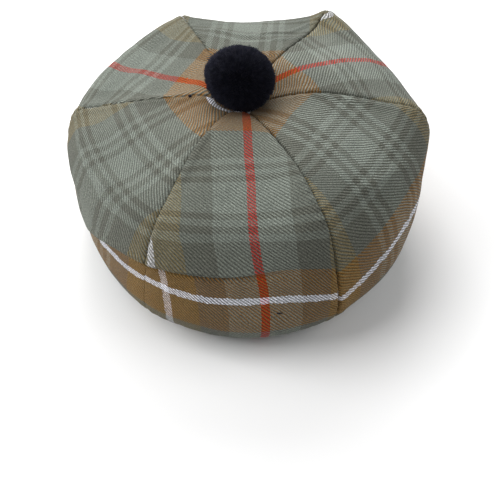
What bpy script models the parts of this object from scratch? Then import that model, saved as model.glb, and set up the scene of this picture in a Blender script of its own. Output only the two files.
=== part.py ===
"""Tam o'shanter: six cloth gores gathered onto a head band, with a lining and a wool pompom.

Frame: metres, +Z up, the floor at Z = 0. The wearer's front faces -Y. The hat rests on the flat
rim of its head band, and the origin is under the middle of its outline.

Every gore runs in one piece from the crown's centre over the edge, down the side and under to the
band. A gore's shape follows three upright sections through the crown's axis: the seam on its left,
its own middle, and the seam on its right. Between two seams each level is a chord with a bulge.
"""

import math
import random
from collections import namedtuple

import bmesh
import bpy
import numpy as np
from mathutils import Matrix

MM = 0.001

# The crown's axis stands a little behind the middle of the outline, because the cloth hangs deeper at
# the front, and the band stands further forward still.
CROWN_AXIS = (-4.5 * MM, 12.6 * MM)
BAND_CENTRE = (2.0 * MM, -4.5 * MM)

CLOTH_THICKNESS = 1.2 * MM
SEAM_GAP = 1.5 * MM            # between the outer faces of two gores; their inner faces come closer
CLOTH_TO_BAND_GAP = 0.8 * MM

# How far along the cloth from the crown's centre each level lies, in millimetres.
LEVELS = {
    "tip": 4, "collar": 28, "crown": 50, "shoulder": 105, "brow": 138,
    "edge": 157, "side": 182, "belly": 208, "tuck": 234, "band": 270,
}
TIP_RADIUS, TIP_HEIGHT = 4, 99          # the dimple that the pompom sits in
COLLAR_RADIUS, COLLAR_HEIGHT = 27, 110  # where the cloth comes out from under the pompom

# The upright sections in turn, clockwise seen from above: radius and height in millimetres where
# each level crosses it. "turn" is the section's direction from the crown's axis, in degrees.
Section = namedtuple(
    "Section",
    "name turn crown_r crown_z shoulder_r shoulder_z brow_r brow_z "
    "edge_r edge_z side_r side_z belly_r belly_z tuck_r tuck_z",
)
SECTIONS = [
    #                          turn   crown     shoulder   brow       edge      side     belly     tuck
    Section("seam_front_right", -62.8, 53, 114, 104, 110, 132, 92, 141, 70, 149, 46, 149, 23, 138, 5),
    Section("front", -90.0, 43, 114, 96, 104, 122, 92, 134, 76, 142, 52, 147, 25, 137, 5),
    Section("seam_front_left", -117.2, 51, 114, 102, 99, 124, 86, 134, 70, 140, 49, 143, 24, 133, 5),
    Section("front_left", -148.5, 46, 110, 97, 100, 120, 87, 131, 68, 134, 45, 134, 22, 124, 5),
    Section("seam_left", 180.2, 52, 108, 104, 100, 126, 92, 133, 78, 134, 53, 131, 27, 119, 5),
    Section("back_left", 147.3, 46, 107, 95, 97, 116, 91, 124, 76, 123, 53, 117, 26, 104, 5),
    Section("seam_back_left", 114.4, 52, 110, 105, 107, 125, 104, 132, 92, 131, 66, 124, 34, 107, 7),
    Section("back", 83.9, 44, 112, 92, 108, 112, 96, 119, 80, 121, 54, 116, 26, 103, 5),
    Section("seam_back_right", 53.4, 52, 114, 105, 112, 126, 118, 136, 104, 134, 72, 125, 36, 107, 7),
    Section("back_right", 23.6, 46, 117, 98, 115, 120, 106, 132, 90, 134, 62, 126, 30, 110, 5),
    Section("seam_right", -6.2, 50, 117, 106, 114, 134, 106, 143, 90, 143, 60, 137, 30, 123, 5),
    Section("front_right", -34.5, 45, 115, 98, 109, 124, 96, 138, 78, 144, 52, 143, 26, 130, 5),
]

BULGE_POWER = 2.2              # a gore is flatter in its middle than an arc, and steeper at its seams
GORE_COLUMNS = 14
GORE_ROWS = [4, 22, 42, 66, 92, 116, 134, 147, 157, 168, 184, 202, 218, 234, 252, 270]
PLEAT_DEPTH = 3.2 * MM         # the gathers where the cloth is sewn to the band
PLEAT_START = 222              # level where the gathers fade out, in millimetres along the cloth
CLOTH_END_HEIGHT = 2.8 * MM

# Head band: an oval ring that stands on its rim and slants inwards, longer from front to back.
BAND_RIM = (84 * MM, 93 * MM)          # half width and half length at the floor
BAND_TOP = (62 * MM, 72 * MM)
BAND_THICKNESS = 2.2 * MM
BAND_HEIGHT = 28 * MM
BAND_UPRIGHT = 6 * MM                  # the rim stands straight this far before it slants
BAND_SEGMENTS = 40

# Lining: a loose dome over the band. Each row is half width, half length and height in millimetres.
LiningRing = namedtuple("LiningRing", "half_width half_length height")
LINING_RINGS = [
    LiningRing(61, 71, 28.8),
    LiningRing(72, 80, 38),
    LiningRing(80, 85, 54),
    LiningRing(76, 79, 72),
    LiningRing(58, 60, 86),
    LiningRing(30, 31, 92),
]
LINING_CENTRE_HEIGHT = 90 * MM
LINING_THICKNESS = 1.0 * MM
LINING_SEGMENTS = 36
LINING_FOLD_DEPTH = 2.5 * MM           # the soft upright folds, six of them, one to a gore
LINING_FOLDS = 6

# Pompom: an oblate wool ball of blunt tufts on a core.
POMPOM_RADIUS = 27.4 * MM
POMPOM_HALF_HEIGHT = 24.6 * MM
POMPOM_CENTRE_HEIGHT = 126 * MM
POMPOM_CORE = 0.86                     # the core's share of the radius, with the tufts standing on it
TUFT_FINENESS = 3                      # one tuft on each face of a sphere divided this many times
TUFT_ROOT_INSET = 0.02                 # half the groove between two tufts, as a share of the radius
TUFT_TIP_SCALE = 0.84
TUFT_SHORTEST = 0.93                   # the wool is clipped a little unevenly
POMPOM_SEED = 4

CLOTH_GREY = (0.155, 0.165, 0.140)
BAND_BLACK = (0.010, 0.010, 0.012)
LINING_NAVY = (0.022, 0.024, 0.036)
POMPOM_BLACK = (0.006, 0.006, 0.009)


def clear_scene():
    """Remove whatever the scene held before."""
    for existing in list(bpy.data.objects):
        bpy.data.objects.remove(existing, do_unlink=True)


def make_material(name, colour, roughness):
    """Return a plain cloth material."""
    material = bpy.data.materials.new(name)
    material.use_nodes = True
    shader = material.node_tree.nodes["Principled BSDF"]
    shader.inputs["Base Color"].default_value = (*colour, 1.0)
    shader.inputs["Roughness"].default_value = roughness
    shader.inputs["Metallic"].default_value = 0.0
    return material


def add_object(name, bm, material, collection, parent):
    """Turn a bmesh into a named object of the collection, under the parent empty."""
    mesh = bpy.data.meshes.new(name)
    bm.to_mesh(mesh)
    bm.free()
    mesh.materials.append(material)
    mesh.shade_smooth()
    piece = bpy.data.objects.new(name, mesh)
    collection.objects.link(piece)
    piece.parent = parent
    return piece


def add_wall(piece, thickness):
    """Give an open surface its thickness, inwards."""
    wall = piece.modifiers.new("wall", "SOLIDIFY")
    wall.thickness = thickness
    wall.offset = -1.0
    wall.use_even_offset = False
    wall.use_rim = True


def oval_radius(half_width, half_length, turn):
    """Return the radius of an oval in the direction turn."""
    return 1.0 / math.hypot(math.cos(turn) / half_width, math.sin(turn) / half_length)


def section_points(section):
    """Return a section's points in space, one for each level from the tip to the band."""
    turn = math.radians(section.turn)
    profile = [(TIP_RADIUS, TIP_HEIGHT), (COLLAR_RADIUS, COLLAR_HEIGHT)]
    profile += list(zip(section[2::2], section[3::2]))
    points = [
        (CROWN_AXIS[0] + r * MM * math.cos(turn), CROWN_AXIS[1] + r * MM * math.sin(turn), z * MM)
        for r, z in profile
    ]
    reach = oval_radius(*BAND_RIM, turn) + CLOTH_TO_BAND_GAP
    points.append((
        BAND_CENTRE[0] + reach * math.cos(turn),
        BAND_CENTRE[1] + reach * math.sin(turn),
        CLOTH_END_HEIGHT,
    ))
    return np.array(points)


def along(points, distance):
    """Return the point of a smooth curve through a section's points at a distance along the cloth."""
    knots = list(LEVELS.values())
    steps = np.diff(knots)
    slopes = np.diff(points, axis=0) / steps[:, None]
    tangents = [slopes[0]]
    for before, after, slope, next_slope in zip(steps, steps[1:], slopes, slopes[1:]):
        tangents.append((slope * after + next_slope * before) / (before + after))
    tangents.append(slopes[-1])
    span = min(int(np.searchsorted(knots, distance, side="right")) - 1, len(steps) - 1)
    length = steps[span]
    t = (distance - knots[span]) / length
    return (
        (2 * t**3 - 3 * t**2 + 1) * points[span]
        + (t**3 - 2 * t**2 + t) * length * tangents[span]
        + (3 * t**2 - 2 * t**3) * points[span + 1]
        + (t**3 - t**2) * length * tangents[span + 1]
    )


def gather_depth(column, distance):
    """Return how far a gather's fold lifts the cloth: every second column, more towards the band."""
    fade = min(max((distance - PLEAT_START) / (LEVELS["band"] - PLEAT_START), 0.0), 1.0)
    return PLEAT_DEPTH * fade * (column % 2)


def build_gore(name, before, middle, after, material, collection, parent):
    """Build one gore between the seams before and after it, around its own middle section."""
    sections = [section_points(section) for section in (before, middle, after)]
    rows = []
    for distance in GORE_ROWS:
        start, centre, end = (along(points, distance) for points in sections)
        edge = 0.5 * SEAM_GAP / np.linalg.norm(end - start)
        rows.append((distance, start, centre - (start + end) / 2, end, edge))

    bm = bmesh.new()
    bmesh.ops.create_grid(bm, x_segments=GORE_COLUMNS, y_segments=len(GORE_ROWS) - 1, size=0.5)
    for vert in bm.verts:
        column = round((vert.co.x + 0.5) * GORE_COLUMNS)
        distance, start, bulge, end, edge = rows[round((vert.co.y + 0.5) * (len(GORE_ROWS) - 1))]
        across = edge + (1 - 2 * edge) * column / GORE_COLUMNS
        point = start * (1 - across) + end * across
        point = point + bulge * (1 - abs(2 * across - 1) ** BULGE_POWER)
        point[2] += gather_depth(column, distance)
        vert.co = point
    gore = add_object(name, bm, material, collection, parent)
    add_wall(gore, CLOTH_THICKNESS)
    return gore


def oval_loop(bm, half_width, half_length, height, centre, segments):
    """Add an oval loop of edges and return its edges."""
    place = Matrix.Translation((*centre, height)) @ Matrix.Diagonal((half_width, half_length, 1.0, 1.0))
    loop = bmesh.ops.create_circle(bm, segments=segments, radius=1.0, matrix=place)
    verts = set(loop["verts"])
    return [edge for edge in bm.edges if edge.verts[0] in verts and edge.verts[1] in verts]


def build_headband(material, collection, parent):
    """Build the band: an oval ring, upright at its rim and slanting inwards above it."""
    rim, top = BAND_RIM, BAND_TOP
    outline = [
        (rim[0], rim[1], 0.0),
        (rim[0], rim[1], BAND_UPRIGHT),
        (top[0], top[1], BAND_HEIGHT),
        (top[0] - BAND_THICKNESS, top[1] - BAND_THICKNESS, BAND_HEIGHT),
        (rim[0] - BAND_THICKNESS, rim[1] - BAND_THICKNESS, BAND_UPRIGHT - BAND_THICKNESS / 2),
        (rim[0] - BAND_THICKNESS, rim[1] - BAND_THICKNESS, 0.0),
    ]
    bm = bmesh.new()
    loops = [oval_loop(bm, *ring, BAND_CENTRE, BAND_SEGMENTS) for ring in outline]
    for lower, upper in zip(loops, loops[1:] + loops[:1]):
        bmesh.ops.bridge_loops(bm, edges=lower + upper)
    bmesh.ops.recalc_face_normals(bm, faces=bm.faces)
    return add_object("headband", bm, material, collection, parent)


def build_lining(material, collection, parent):
    """Build the lining: a loose dome whose soft folds run up to the crown's centre."""
    bm = bmesh.new()
    loops = []
    for ring in LINING_RINGS:
        size = (ring.half_width * MM, ring.half_length * MM, ring.height * MM)
        loops.append(oval_loop(bm, *size, BAND_CENTRE, LINING_SEGMENTS))
    for lower, upper in zip(loops, loops[1:]):
        bmesh.ops.bridge_loops(bm, edges=lower + upper)
    top = bmesh.ops.contextual_create(bm, geom=loops[-1])["faces"]
    centre = bmesh.ops.poke(bm, faces=top)["verts"][0]
    centre.co.z = LINING_CENTRE_HEIGHT
    lowest = LINING_RINGS[0].height * MM
    for vert in bm.verts:
        if vert is centre or vert.co.z < lowest + BAND_THICKNESS:
            continue
        x, y = vert.co.x - BAND_CENTRE[0], vert.co.y - BAND_CENTRE[1]
        inwards = 1 - LINING_FOLD_DEPTH * (1 + math.cos(LINING_FOLDS * math.atan2(y, x))) / math.hypot(x, y)
        vert.co.x = BAND_CENTRE[0] + x * inwards
        vert.co.y = BAND_CENTRE[1] + y * inwards
    bmesh.ops.recalc_face_normals(bm, faces=bm.faces)
    lining = add_object("lining", bm, material, collection, parent)
    add_wall(lining, LINING_THICKNESS)
    return lining


def build_pompom(material, collection, parent):
    """Build the pompom: blunt tufts drawn out of the faces of a round core."""
    bm = bmesh.new()
    bmesh.ops.create_icosphere(bm, subdivisions=TUFT_FINENESS, radius=POMPOM_CORE)
    core_faces = list(bm.faces)
    bmesh.ops.inset_individual(bm, faces=core_faces, thickness=TUFT_ROOT_INSET, use_even_offset=True)
    tufts = bmesh.ops.extrude_discrete_faces(bm, faces=core_faces)["faces"]
    clipping = random.Random(POMPOM_SEED)
    for tuft in tufts:
        middle = tuft.calc_center_median()
        reach = clipping.uniform(TUFT_SHORTEST, 1.0)
        for vert in tuft.verts:
            vert.co = (middle + (vert.co - middle) * TUFT_TIP_SCALE).normalized() * reach
    size = Matrix.Diagonal((POMPOM_RADIUS, POMPOM_RADIUS, POMPOM_HALF_HEIGHT, 1.0))
    place = Matrix.Translation((*CROWN_AXIS, POMPOM_CENTRE_HEIGHT))
    bmesh.ops.transform(bm, matrix=place @ size, verts=bm.verts)
    bmesh.ops.recalc_face_normals(bm, faces=bm.faces)
    return add_object("pompom", bm, material, collection, parent)


def main():
    """Build the hat."""
    clear_scene()
    collection = bpy.data.collections.new("tam_o_shanter")
    bpy.context.scene.collection.children.link(collection)
    frame = bpy.data.objects.new("tam_frame", None)
    collection.objects.link(frame)

    for place in range(1, len(SECTIONS), 2):
        before, middle = SECTIONS[place - 1], SECTIONS[place]
        after = SECTIONS[(place + 1) % len(SECTIONS)]
        name = "panel_" + middle.name
        build_gore(name, before, middle, after, make_material(name, CLOTH_GREY, 0.95), collection, frame)
    build_headband(make_material("headband", BAND_BLACK, 0.8), collection, frame)
    build_lining(make_material("lining", LINING_NAVY, 0.45), collection, frame)
    build_pompom(make_material("pompom", POMPOM_BLACK, 1.0), collection, frame)


main()
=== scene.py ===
"""A tam o'shanter dressed in tartan wool, with its head band, lining and pompom, in a small studio.

Lengths in the tables are millimetres of real cloth, and the finished meshes are in metres,
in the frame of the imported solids: +Z up, the floor at Z = 0, the wearer's front at -Y.

Every gore is one piece of cloth from the crown's centre over the edge and under to the band. A point on
it has two cloth coordinates: how far it lies across from the gore's middle, clockwise seen from above,
and how far along from the crown's centre. The folds are laid out in those, and so is the weave.
"""

from __future__ import annotations

import logging
import math
from dataclasses import dataclass
from enum import Enum
from typing import Any, NamedTuple, Sequence

import bmesh
import bpy
import numpy as np
from mathutils import Matrix, Vector


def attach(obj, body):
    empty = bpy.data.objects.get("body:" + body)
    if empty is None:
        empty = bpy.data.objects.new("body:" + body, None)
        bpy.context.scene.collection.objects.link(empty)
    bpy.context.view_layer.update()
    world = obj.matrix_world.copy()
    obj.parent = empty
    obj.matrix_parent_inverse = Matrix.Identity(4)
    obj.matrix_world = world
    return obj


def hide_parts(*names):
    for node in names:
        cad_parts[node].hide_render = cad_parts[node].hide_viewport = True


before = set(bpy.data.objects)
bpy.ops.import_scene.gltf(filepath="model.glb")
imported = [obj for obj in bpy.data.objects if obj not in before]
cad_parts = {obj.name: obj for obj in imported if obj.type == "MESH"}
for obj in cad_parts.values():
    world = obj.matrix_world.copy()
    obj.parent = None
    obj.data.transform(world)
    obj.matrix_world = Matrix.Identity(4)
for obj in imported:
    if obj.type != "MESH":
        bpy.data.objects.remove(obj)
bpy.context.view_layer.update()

LOG = logging.getLogger("tam")
MM = 0.001
BODY = "root"              # the record's one body
Colour = tuple[float, float, float]               # linear red, green and blue
Marks = tuple[float, float, float, float]         # the start and end of a rise, then those of a fall
WELD_GAP = 0.02 * MM       # corners that lie closer than this are one
TWILL_REPEAT = 4.0         # the weave repeats after four threads
TWILL_FLOAT = 2.0          # each of them passes over two


class Slot(Enum):
    """The record's material slots."""

    TARTAN = "tartan_wool"
    BAND = "band_cotton"
    LINING = "lining_satin"
    POMPOM = "pompom_wool"


class Yarn(Enum):
    """A dyed wool yarn and its colour, in linear red, green and blue."""

    BLUE_GREY = (0.190, 0.211, 0.182)
    CHARCOAL = (0.112, 0.117, 0.096)
    BROWN = (0.214, 0.094, 0.010)
    OCHRE = (0.174, 0.136, 0.062)
    WHITE = (0.90, 0.90, 1.0)
    PEARL = (0.62, 0.61, 0.62)
    RED = (0.370, 0.012, 0.006)


class Stripe(NamedTuple):
    """One stripe of the sett: its yarn and its width in millimetres."""

    yarn: Yarn
    width: float


# Half of the sett, from the middle of the red stripe to the middle of the broad blue-grey one. The
# cloth repeats it mirrored about both.
HALF_SETT = (
    Stripe(Yarn.RED, 2.6),
    Stripe(Yarn.BLUE_GREY, 21.95),
    Stripe(Yarn.CHARCOAL, 21.3),
    Stripe(Yarn.BROWN, 20.4),
    Stripe(Yarn.WHITE, 5.6),
    Stripe(Yarn.BROWN, 20.4),
    Stripe(Yarn.CHARCOAL, 21.3),
    Stripe(Yarn.BLUE_GREY, 4.9),
    Stripe(Yarn.CHARCOAL, 4.9),
    Stripe(Yarn.BLUE_GREY, 4.9),
    Stripe(Yarn.CHARCOAL, 4.9),
    Stripe(Yarn.BLUE_GREY, 12.25),
)
HALF_SETT_WIDTH = sum(stripe.width for stripe in HALF_SETT)
# The warp's browns are paler and yellower than the weft's, and its white is greyer.
WARP_YARNS = {Yarn.BROWN: Yarn.OCHRE, Yarn.WHITE: Yarn.PEARL}
RED_WEFT_AT = 105.25 + HALF_SETT_WIDTH     # how far along the cloth the weft's red stripe lies

CROWN_AXIS = (-4.5, 12.6)
BAND_CENTRE = (2.0, -4.5)
BAND_RIM = (84.0, 93.0)
BAND_TOP = (62.0, 72.0)
BAND_HEIGHT = 28.0


class Centre(Enum):
    """What runs down a gore's middle, as the distance of that line from the sett's red stripe."""

    RED = 0.0
    BLUE_GREY = HALF_SETT_WIDTH


class Section(NamedTuple):
    """An upright cut through the crown's axis: its direction in degrees, then the radius and height in
    millimetres where each level of the cloth crosses it, and how deep its seam is drawn in there."""

    turn: float
    crown: tuple[float, float]
    shoulder: tuple[float, float]
    brow: tuple[float, float]
    edge: tuple[float, float]
    side: tuple[float, float]
    belly: tuple[float, float]
    tuck: tuple[float, float]
    drawn: float = 1.0


class Level(Enum):
    """How far along the cloth from the crown's centre each level lies, in millimetres."""

    TIP = 4.0
    COLLAR = 28.0
    CROWN = 50.0
    SHOULDER = 105.0
    BROW = 138.0
    EDGE = 157.0
    SIDE = 182.0
    BELLY = 208.0
    TUCK = 234.0
    BAND = 270.0


TIP_POINT = (4.0, 99.0)
COLLAR_POINT = (27.0, 110.0)
CLOTH_END_HEIGHT = 2.8
CLOTH_TO_BAND_GAP = 0.8

# turn, then crown, shoulder, brow, edge, side, belly and tuck
SEAM_FRONT_RIGHT = Section(
    -62.8, (53, 114), (104, 110), (132, 92), (142, 70), (150, 46), (151, 23), (140, 5), drawn=1.7
)
FRONT = Section(
    -90.0, (43, 114), (96, 104), (122, 92), (134, 76), (143, 52), (150, 25), (140, 5)
)
SEAM_FRONT_LEFT = Section(
    -117.2, (51, 114), (102, 99), (124, 86), (134, 70), (140, 49), (144, 24), (134, 5), drawn=0.5
)
FRONT_LEFT = Section(
    -148.5, (46, 110), (97, 100), (120, 87), (131, 68), (133, 45), (133, 22), (124, 5)
)
SEAM_LEFT = Section(
    180.2, (52, 108), (104, 100), (127, 93), (134, 79), (134, 53), (131, 27), (119, 5)
)
BACK_LEFT = Section(
    147.3, (46, 107), (96, 98), (122, 95), (132, 80), (129, 54), (121, 27), (107, 5)
)
SEAM_BACK_LEFT = Section(
    114.4, (52, 110), (105, 107), (126, 105), (134, 93), (133, 67), (125, 34), (107, 7), drawn=1.4
)
BACK = Section(
    83.9, (44, 112), (92, 109), (113, 98), (121, 82), (122, 55), (117, 27), (104, 5)
)
SEAM_BACK_RIGHT = Section(
    53.4, (52, 114), (105, 112), (127, 119), (138, 105), (136, 73), (127, 37), (108, 7), drawn=1.2
)
BACK_RIGHT = Section(
    23.6, (46, 117), (99, 116), (122.5, 108), (135, 92), (137, 63), (128, 30), (112, 5)
)
SEAM_RIGHT = Section(
    -6.2, (50, 117), (106, 114), (135.5, 107), (145, 91), (145.5, 61), (140, 30), (126, 5)
)
FRONT_RIGHT = Section(
    -34.5, (45, 115), (98, 109), (124, 96), (138.5, 78), (146, 52), (146, 26), (134, 5)
)


Slip = tuple[float, float, float, float, float]
SLIP_SHARES = (0.0, 0.25, 0.5, 0.75, 1.0)      # where a slip's numbers hold, across a gore


def even(slip: float) -> Slip:
    """Return a slip that is the same all the way across a gore."""
    return (slip,) * 5


class Lay(NamedTuple):
    """How the weave lies on a gore at one distance along it, in millimetres.

    The slip says how much further out than in an even cloth the weft lies: at the gore's first seam, a
    quarter across, in the middle, three quarters across and at its second seam.
    """

    along: float
    line: float                # where the middle stripe lies, across from the gore's middle
    fullness: float            # the weave's width over the width that shows
    slip: Slip


class Cut(NamedTuple):
    """One gore: its solid, the sections at its seams and middle, and how its stripes run."""

    node: str
    before: Section
    middle: Section
    after: Section
    centre: Centre
    lays: tuple[Lay, ...]


CUTS = (
    Cut("panel_front", SEAM_FRONT_RIGHT, FRONT, SEAM_FRONT_LEFT, Centre.RED, (
        Lay(25, -5.5, 0.98, even(-21.0)),
        Lay(50, -6.4, 0.98, (-3.0, -2.5, -1.6, -2.5, -3.5)),
        Lay(75, -7.2, 0.98, (2.0, 2.2, 2.2, 2.2, 2.0)),
        Lay(93, -8.6, 0.98, even(0.0)),
        Lay(117, -9.2, 0.98, even(0.0)),
        Lay(138, -10.7, 0.94, (2.0, 1.6, 1.4, 2.0, 2.5)),
        Lay(149, -12.5, 0.955, (1.0, -1.0, 1.8, 3.3, 3.3)),
        Lay(159, -14.5, 0.95, (0.0, -3.8, 2.0, 4.5, 4.0)),
        Lay(166, -16.2, 0.99, (0.2, -4.5, 1.0, 3.5, 0.0)),
        Lay(182, -18.0, 1.01, (0.5, -5.2, -1.0, 1.0, -4.2)),
        Lay(206, -18.6, 1.02, (-1.0, -1.0, 1.0, 0.0, -2.0)),
        Lay(240, -15.0, 1.06, even(0.0)),
    )),
    Cut("panel_front_left", SEAM_FRONT_LEFT, FRONT_LEFT, SEAM_LEFT, Centre.BLUE_GREY, (
        Lay(25, -6.0, 1.03, (-15.5, -13.0, -10.0, -7.5, -6.0)),
        Lay(52, -6.5, 1.07, even(2.0)),
        Lay(75, -8.5, 1.08, even(4.0)),
        Lay(93, -10.0, 1.08, even(4.0)),
        Lay(117, -9.0, 1.08, even(4.0)),
        Lay(138, -3.0, 1.00, (3.0, 3.0, 4.0, 4.0, 3.0)),
        Lay(158, -2.5, 0.965, (1.0, 1.0, 4.0, 5.0, 2.0)),
        Lay(182, -4.0, 0.97, (-3.0, -3.5, 4.5, 8.0, 8.0)),
        Lay(206, -4.0, 0.98, (-2.0, -2.0, 3.5, 8.5, 9.5)),
        Lay(240, -4.0, 1.03, (0.0, 2.0, 7.0, 12.0, 14.0)),
    )),
    Cut("panel_back_left", SEAM_LEFT, BACK_LEFT, SEAM_BACK_LEFT, Centre.RED, (
        Lay(25, -4.5, 1.00, (-12.0, -13.0, -15.0, -15.0, -15.0)),
        Lay(55, -4.0, 1.00, (3.0, 6.0, 8.0, 8.0, 10.0)),
        Lay(80, -6.2, 1.00, (10.0, 8.0, 6.5, 7.0, 11.0)),
        Lay(99, -7.6, 1.00, (14.0, 10.0, 6.0, 9.0, 13.0)),
        Lay(120, -12.5, 0.87, (7.0, 6.0, 6.0, 6.0, 7.0)),
        Lay(141, -9.0, 0.84, (3.0, 3.0, 5.0, 7.0, 7.0)),
        Lay(158, -4.0, 0.825, (2.0, 3.0, 4.0, 5.0, 5.0)),
        Lay(182, -4.0, 0.95, (8.0, 9.0, 9.5, 10.0, 10.5)),
        Lay(206, -4.0, 1.06, (9.5, 10.5, 10.5, 9.5, 7.5)),
        Lay(240, -4.0, 1.12, (14.0, 15.0, 15.0, 15.0, 15.0)),
    )),
    Cut("panel_back", SEAM_BACK_LEFT, BACK, SEAM_BACK_RIGHT, Centre.BLUE_GREY, (
        Lay(25, -3.0, 1.00, even(-15.0)),
        Lay(54, -3.0, 1.00, (8.0, 7.0, 6.0, 6.0, 6.0)),
        Lay(73, -3.0, 1.00, (12.0, 6.0, 0.0, 1.0, 8.0)),
        Lay(93, -3.0, 1.00, (14.0, 6.0, -5.0, -3.0, 6.0)),
        Lay(117, -3.0, 1.00, (6.0, 0.0, -7.0, -7.0, 0.0)),
        Lay(138, -2.5, 0.98, (0.0, 0.0, -4.0, -4.0, 0.0)),
        Lay(158, -2.0, 0.965, even(4.0)),
        Lay(182, -2.0, 1.00, (10.5, 10.0, 9.5, 10.0, 10.5)),
        Lay(206, -2.0, 1.06, (7.5, 9.5, 10.5, 9.5, 7.5)),
        Lay(240, -2.0, 1.12, even(15.0)),
    )),
    Cut("panel_back_right", SEAM_BACK_RIGHT, BACK_RIGHT, SEAM_RIGHT, Centre.RED, (
        Lay(25, -4.5, 1.00, even(-15.0)),
        Lay(52, -0.8, 1.00, (0.0, 0.0, 1.5, 5.0, 8.0)),
        Lay(75, 2.0, 1.00, (0.0, 0.0, 2.0, 5.0, 7.0)),
        Lay(93, 3.3, 1.00, (-1.0, -1.0, 0.0, 3.0, 7.0)),
        Lay(117, 7.0, 1.05, (-5.0, -3.0, 1.0, 1.5, 2.5)),
        Lay(130, 10.5, 1.03, even(0.0)),
        Lay(142, 7.0, 0.95, even(0.0)),
        Lay(164, 0.5, 0.945, (4.0, 3.5, 3.0, 3.0, 3.0)),
        Lay(182, -1.0, 0.96, (10.5, 10.0, 9.0, 8.5, 8.0)),
        Lay(206, -1.0, 1.06, (7.5, 9.0, 10.0, 9.5, 8.5)),
        Lay(240, -1.0, 1.12, (15.0, 15.0, 15.0, 15.0, 14.0)),
    )),
    Cut("panel_front_right", SEAM_RIGHT, FRONT_RIGHT, SEAM_FRONT_RIGHT, Centre.BLUE_GREY, (
        Lay(25, -11.0, 1.04, even(-15.0)),
        Lay(52, -10.5, 1.04, (3.5, 1.0, -0.5, 0.0, 0.0)),
        Lay(75, -8.5, 1.04, (3.0, 2.5, 1.6, 3.0, 4.5)),
        Lay(93, -6.0, 1.04, (7.5, 3.0, 1.5, 3.5, 6.5)),
        Lay(117, -2.5, 1.04, (5.0, 2.0, 2.0, 2.5, 4.0)),
        Lay(138, 0.0, 1.02, (3.0, 2.0, 2.4, 2.5, 3.0)),
        Lay(158, -1.0, 0.98, (3.0, 1.0, -2.0, -0.3, 3.6)),
        Lay(182, -1.0, 0.96, (8.0, 3.5, -4.0, -2.0, 5.5)),
        Lay(206, -1.0, 0.96, (8.5, 4.5, -3.0, -1.5, 4.5)),
        Lay(240, -1.0, 1.04, (14.0, 11.0, 5.0, 0.0, 0.0)),
    )),
)


class Fold(NamedTuple):
    """A soft ridge or crease in a gore, between two points on its cloth, in millimetres."""

    node: str
    start: tuple[float, float]     # across and along
    end: tuple[float, float]
    width: float
    lift: float                    # outwards, and below zero for a crease


FOLDS = (
    Fold("panel_front_right", (30, 128), (-34, 150), 5.0, 1.6),
    Fold("panel_front_right", (34, 136), (-30, 162), 4.0, -1.4),
    Fold("panel_front_right", (-12, 150), (-2, 186), 2.6, 1.0),
    Fold("panel_front_right", (36, 166), (30, 206), 3.2, -0.9),
    Fold("panel_back", (-42, 98), (8, 80), 2.2, 1.1),
    Fold("panel_back", (-2, 82), (36, 93), 2.2, 1.1),
    Fold("panel_back", (30, 90), (54, 118), 2.4, 0.9),
    Fold("panel_back", (-18, 78), (24, 75), 2.0, -0.8),
    Fold("panel_back", (16, 75), (48, 86), 2.0, 0.9),
    Fold("panel_back", (-50, 108), (-12, 112), 2.4, 0.7),
)


FOLD_ENDS = (-0.05, 0.25, 0.75, 1.05)      # how a fold comes and goes, as shares of its length


class Crease(NamedTuple):
    """A crease of the lining, seen from below, in millimetres: its ends, depth and half width."""

    start: tuple[float, float]
    end: tuple[float, float]
    lift: float
    width: float


class Sag(NamedTuple):
    """A point on the line where the crown's edge sags over the side, in millimetres."""

    across: float
    along: float
    reach: float       # how far the edge stands out over the side
    hidden: float      # how much cloth is tucked away under it


class Swell(NamedTuple):
    """A smooth hump along the cloth: how far below the sagging edge it lies, its width and its share."""

    below: float
    width: float
    share: float


LIP = (Swell(-1.8, 2.6, 1.0), Swell(-6.0, 6.0, 0.25))      # the edge itself
TUCK = (Swell(2.6, 2.4, 1.0), Swell(8.0, 7.0, 0.30))       # the cloth drawn in under it


class Overhang(NamedTuple):
    """The points of a gore's sagging edge, in rising order across."""

    node: str
    sags: tuple[Sag, ...]


OVERHANGS = (
    Overhang("panel_front_left", (
        Sag(-80, 160.5, 2.6, 4), Sag(-66, 160.2, 3.0, 4), Sag(-50, 161, 3.4, 5), Sag(-37, 163.5, 3.8, 6),
        Sag(-27, 166.5, 4.0, 9), Sag(-18, 171.0, 4.0, 13), Sag(-8, 175.5, 3.8, 16), Sag(4, 179, 3.2, 18),
        Sag(20, 183, 2.0, 18), Sag(40, 188, 0.6, 12), Sag(60, 190, 0.0, 0),
    )),
    Overhang("panel_front", (
        Sag(-44, 155, 0.0, 0), Sag(-30, 156, 0.4, 0), Sag(-14, 159, 1.0, 0), Sag(5, 161.5, 1.7, 1),
        Sag(25, 162.5, 2.0, 3), Sag(50, 162.0, 2.4, 3.5), Sag(80, 160.5, 2.6, 4),
    )),
)


# ------------------------------------------------------------------------------- shader expressions


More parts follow.
